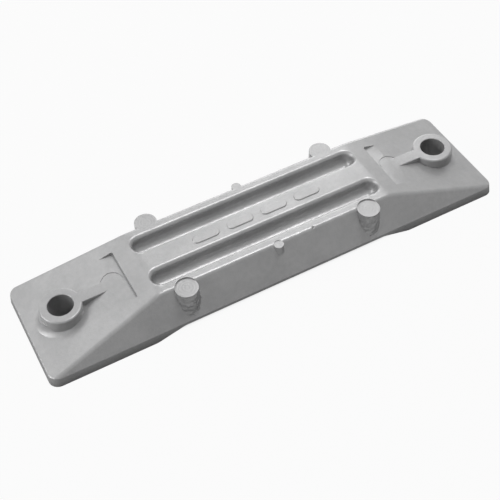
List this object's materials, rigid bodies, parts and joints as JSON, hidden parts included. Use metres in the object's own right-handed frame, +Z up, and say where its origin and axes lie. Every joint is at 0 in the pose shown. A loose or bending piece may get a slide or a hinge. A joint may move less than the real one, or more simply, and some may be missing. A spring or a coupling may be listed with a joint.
{
  "type": "sacrificial anode",
  "caption": "Bar-shaped cast anode with ramped ends, bolt bosses, a raised bridge underside and grooves along the flat top.",
  "frame": {"origin": "middle of the footprint, on the plane that the two end feet stand on", "axes": "+X along the bar, +Y across it, +Z up through the flat top"},
  "size_m": [0.216, 0.0546, 0.0192],
  "materials": {
    "cast_metal": "bare cast alloy, satin, fine grain, unpainted"
  },
  "bodies": {
    "root": {"anode_casting": "cast_metal"}
  },
  "joints": []
}
